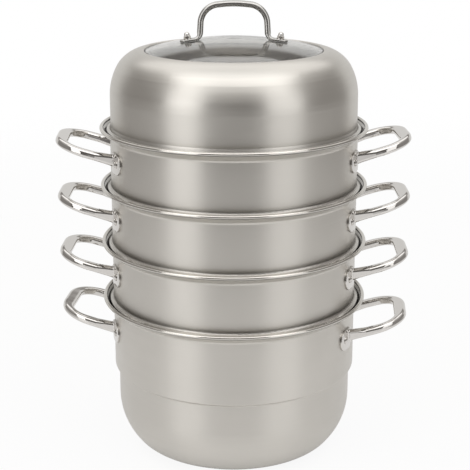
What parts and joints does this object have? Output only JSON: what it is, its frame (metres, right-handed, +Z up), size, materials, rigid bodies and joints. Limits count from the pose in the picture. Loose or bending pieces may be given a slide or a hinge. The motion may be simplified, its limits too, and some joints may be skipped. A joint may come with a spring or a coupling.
{
  "type": "steamer pot",
  "caption": "Stacked steel steamer pot: deep pot with loop handles, steaming tiers with lift-out perforated plates, and a domed lid with a glass window and an arched handle.",
  "frame": {"origin": "centre of the pot's base, on the surface it stands on", "axes": "+Z up along the common axis of pot, tiers and lid; the loop handles lie along +X and -X; -Y is the front"},
  "size_m": [0.4036, 0.3052, 0.5199],
  "materials": {
    "satin_steel": "satin, drawn round",
    "polished_steel": "polished",
    "plate_steel": "satin, perforated",
    "window_glass": "clear, tempered",
    "clear_silicone": "matte, translucent grey",
    "core_aluminium": "pressed"
  },
  "bodies": {
    "pot": {"pot_body": "satin_steel", "pot_base_core": "core_aluminium", "pot_base_cap": "satin_steel", "pot_handle_left": "polished_steel", "pot_handle_right": "polished_steel", "pot_rivets": "polished_steel"},
    "tier_lower": {"tier_lower_body": "satin_steel", "tier_lower_handle_left": "polished_steel", "tier_lower_handle_right": "polished_steel", "tier_lower_rivets": "polished_steel"},
    "plate_lower": {"tier_lower_plate": "plate_steel"},
    "tier_middle": {"tier_middle_body": "satin_steel", "tier_middle_handle_left": "polished_steel", "tier_middle_handle_right": "polished_steel", "tier_middle_rivets": "polished_steel"},
    "plate_middle": {"tier_middle_plate": "plate_steel"},
    "tier_upper": {"tier_upper_body": "satin_steel", "tier_upper_handle_left": "polished_steel", "tier_upper_handle_right": "polished_steel", "tier_upper_rivets": "polished_steel"},
    "plate_upper": {"tier_upper_plate": "plate_steel"},
    "lid": {"lid_dome": "satin_steel", "lid_glass": "window_glass", "lid_seal": "clear_silicone", "lid_handle": "polished_steel", "lid_foot_pads": "clear_silicone", "lid_washers": "clear_silicone", "lid_bolts": "polished_steel", "lid_nuts": "polished_steel"}
  },
  "joints": [
    {"name": "tier_lower_lift", "type": "slide", "parent": "pot", "child": "tier_lower", "axis": [0, 0, 1], "range_m": [0, 0.08]},
    {"name": "plate_lower_lift", "type": "slide", "parent": "tier_lower", "child": "plate_lower", "axis": [0, 0, 1], "range_m": [0, 0.04]},
    {"name": "tier_middle_lift", "type": "slide", "parent": "tier_lower", "child": "tier_middle", "axis": [0, 0, 1], "range_m": [0, 0.08]},
    {"name": "plate_middle_lift", "type": "slide", "parent": "tier_middle", "child": "plate_middle", "axis": [0, 0, 1], "range_m": [0, 0.04]},
    {"name": "tier_upper_lift", "type": "slide", "parent": "tier_middle", "child": "tier_upper", "axis": [0, 0, 1], "range_m": [0, 0.08]},
    {"name": "plate_upper_lift", "type": "slide", "parent": "tier_upper", "child": "plate_upper", "axis": [0, 0, 1], "range_m": [0, 0.04]},
    {"name": "lid_lift", "type": "slide", "parent": "tier_upper", "child": "lid", "axis": [0, 0, 1], "range_m": [0, 0.12]}
  ]
}
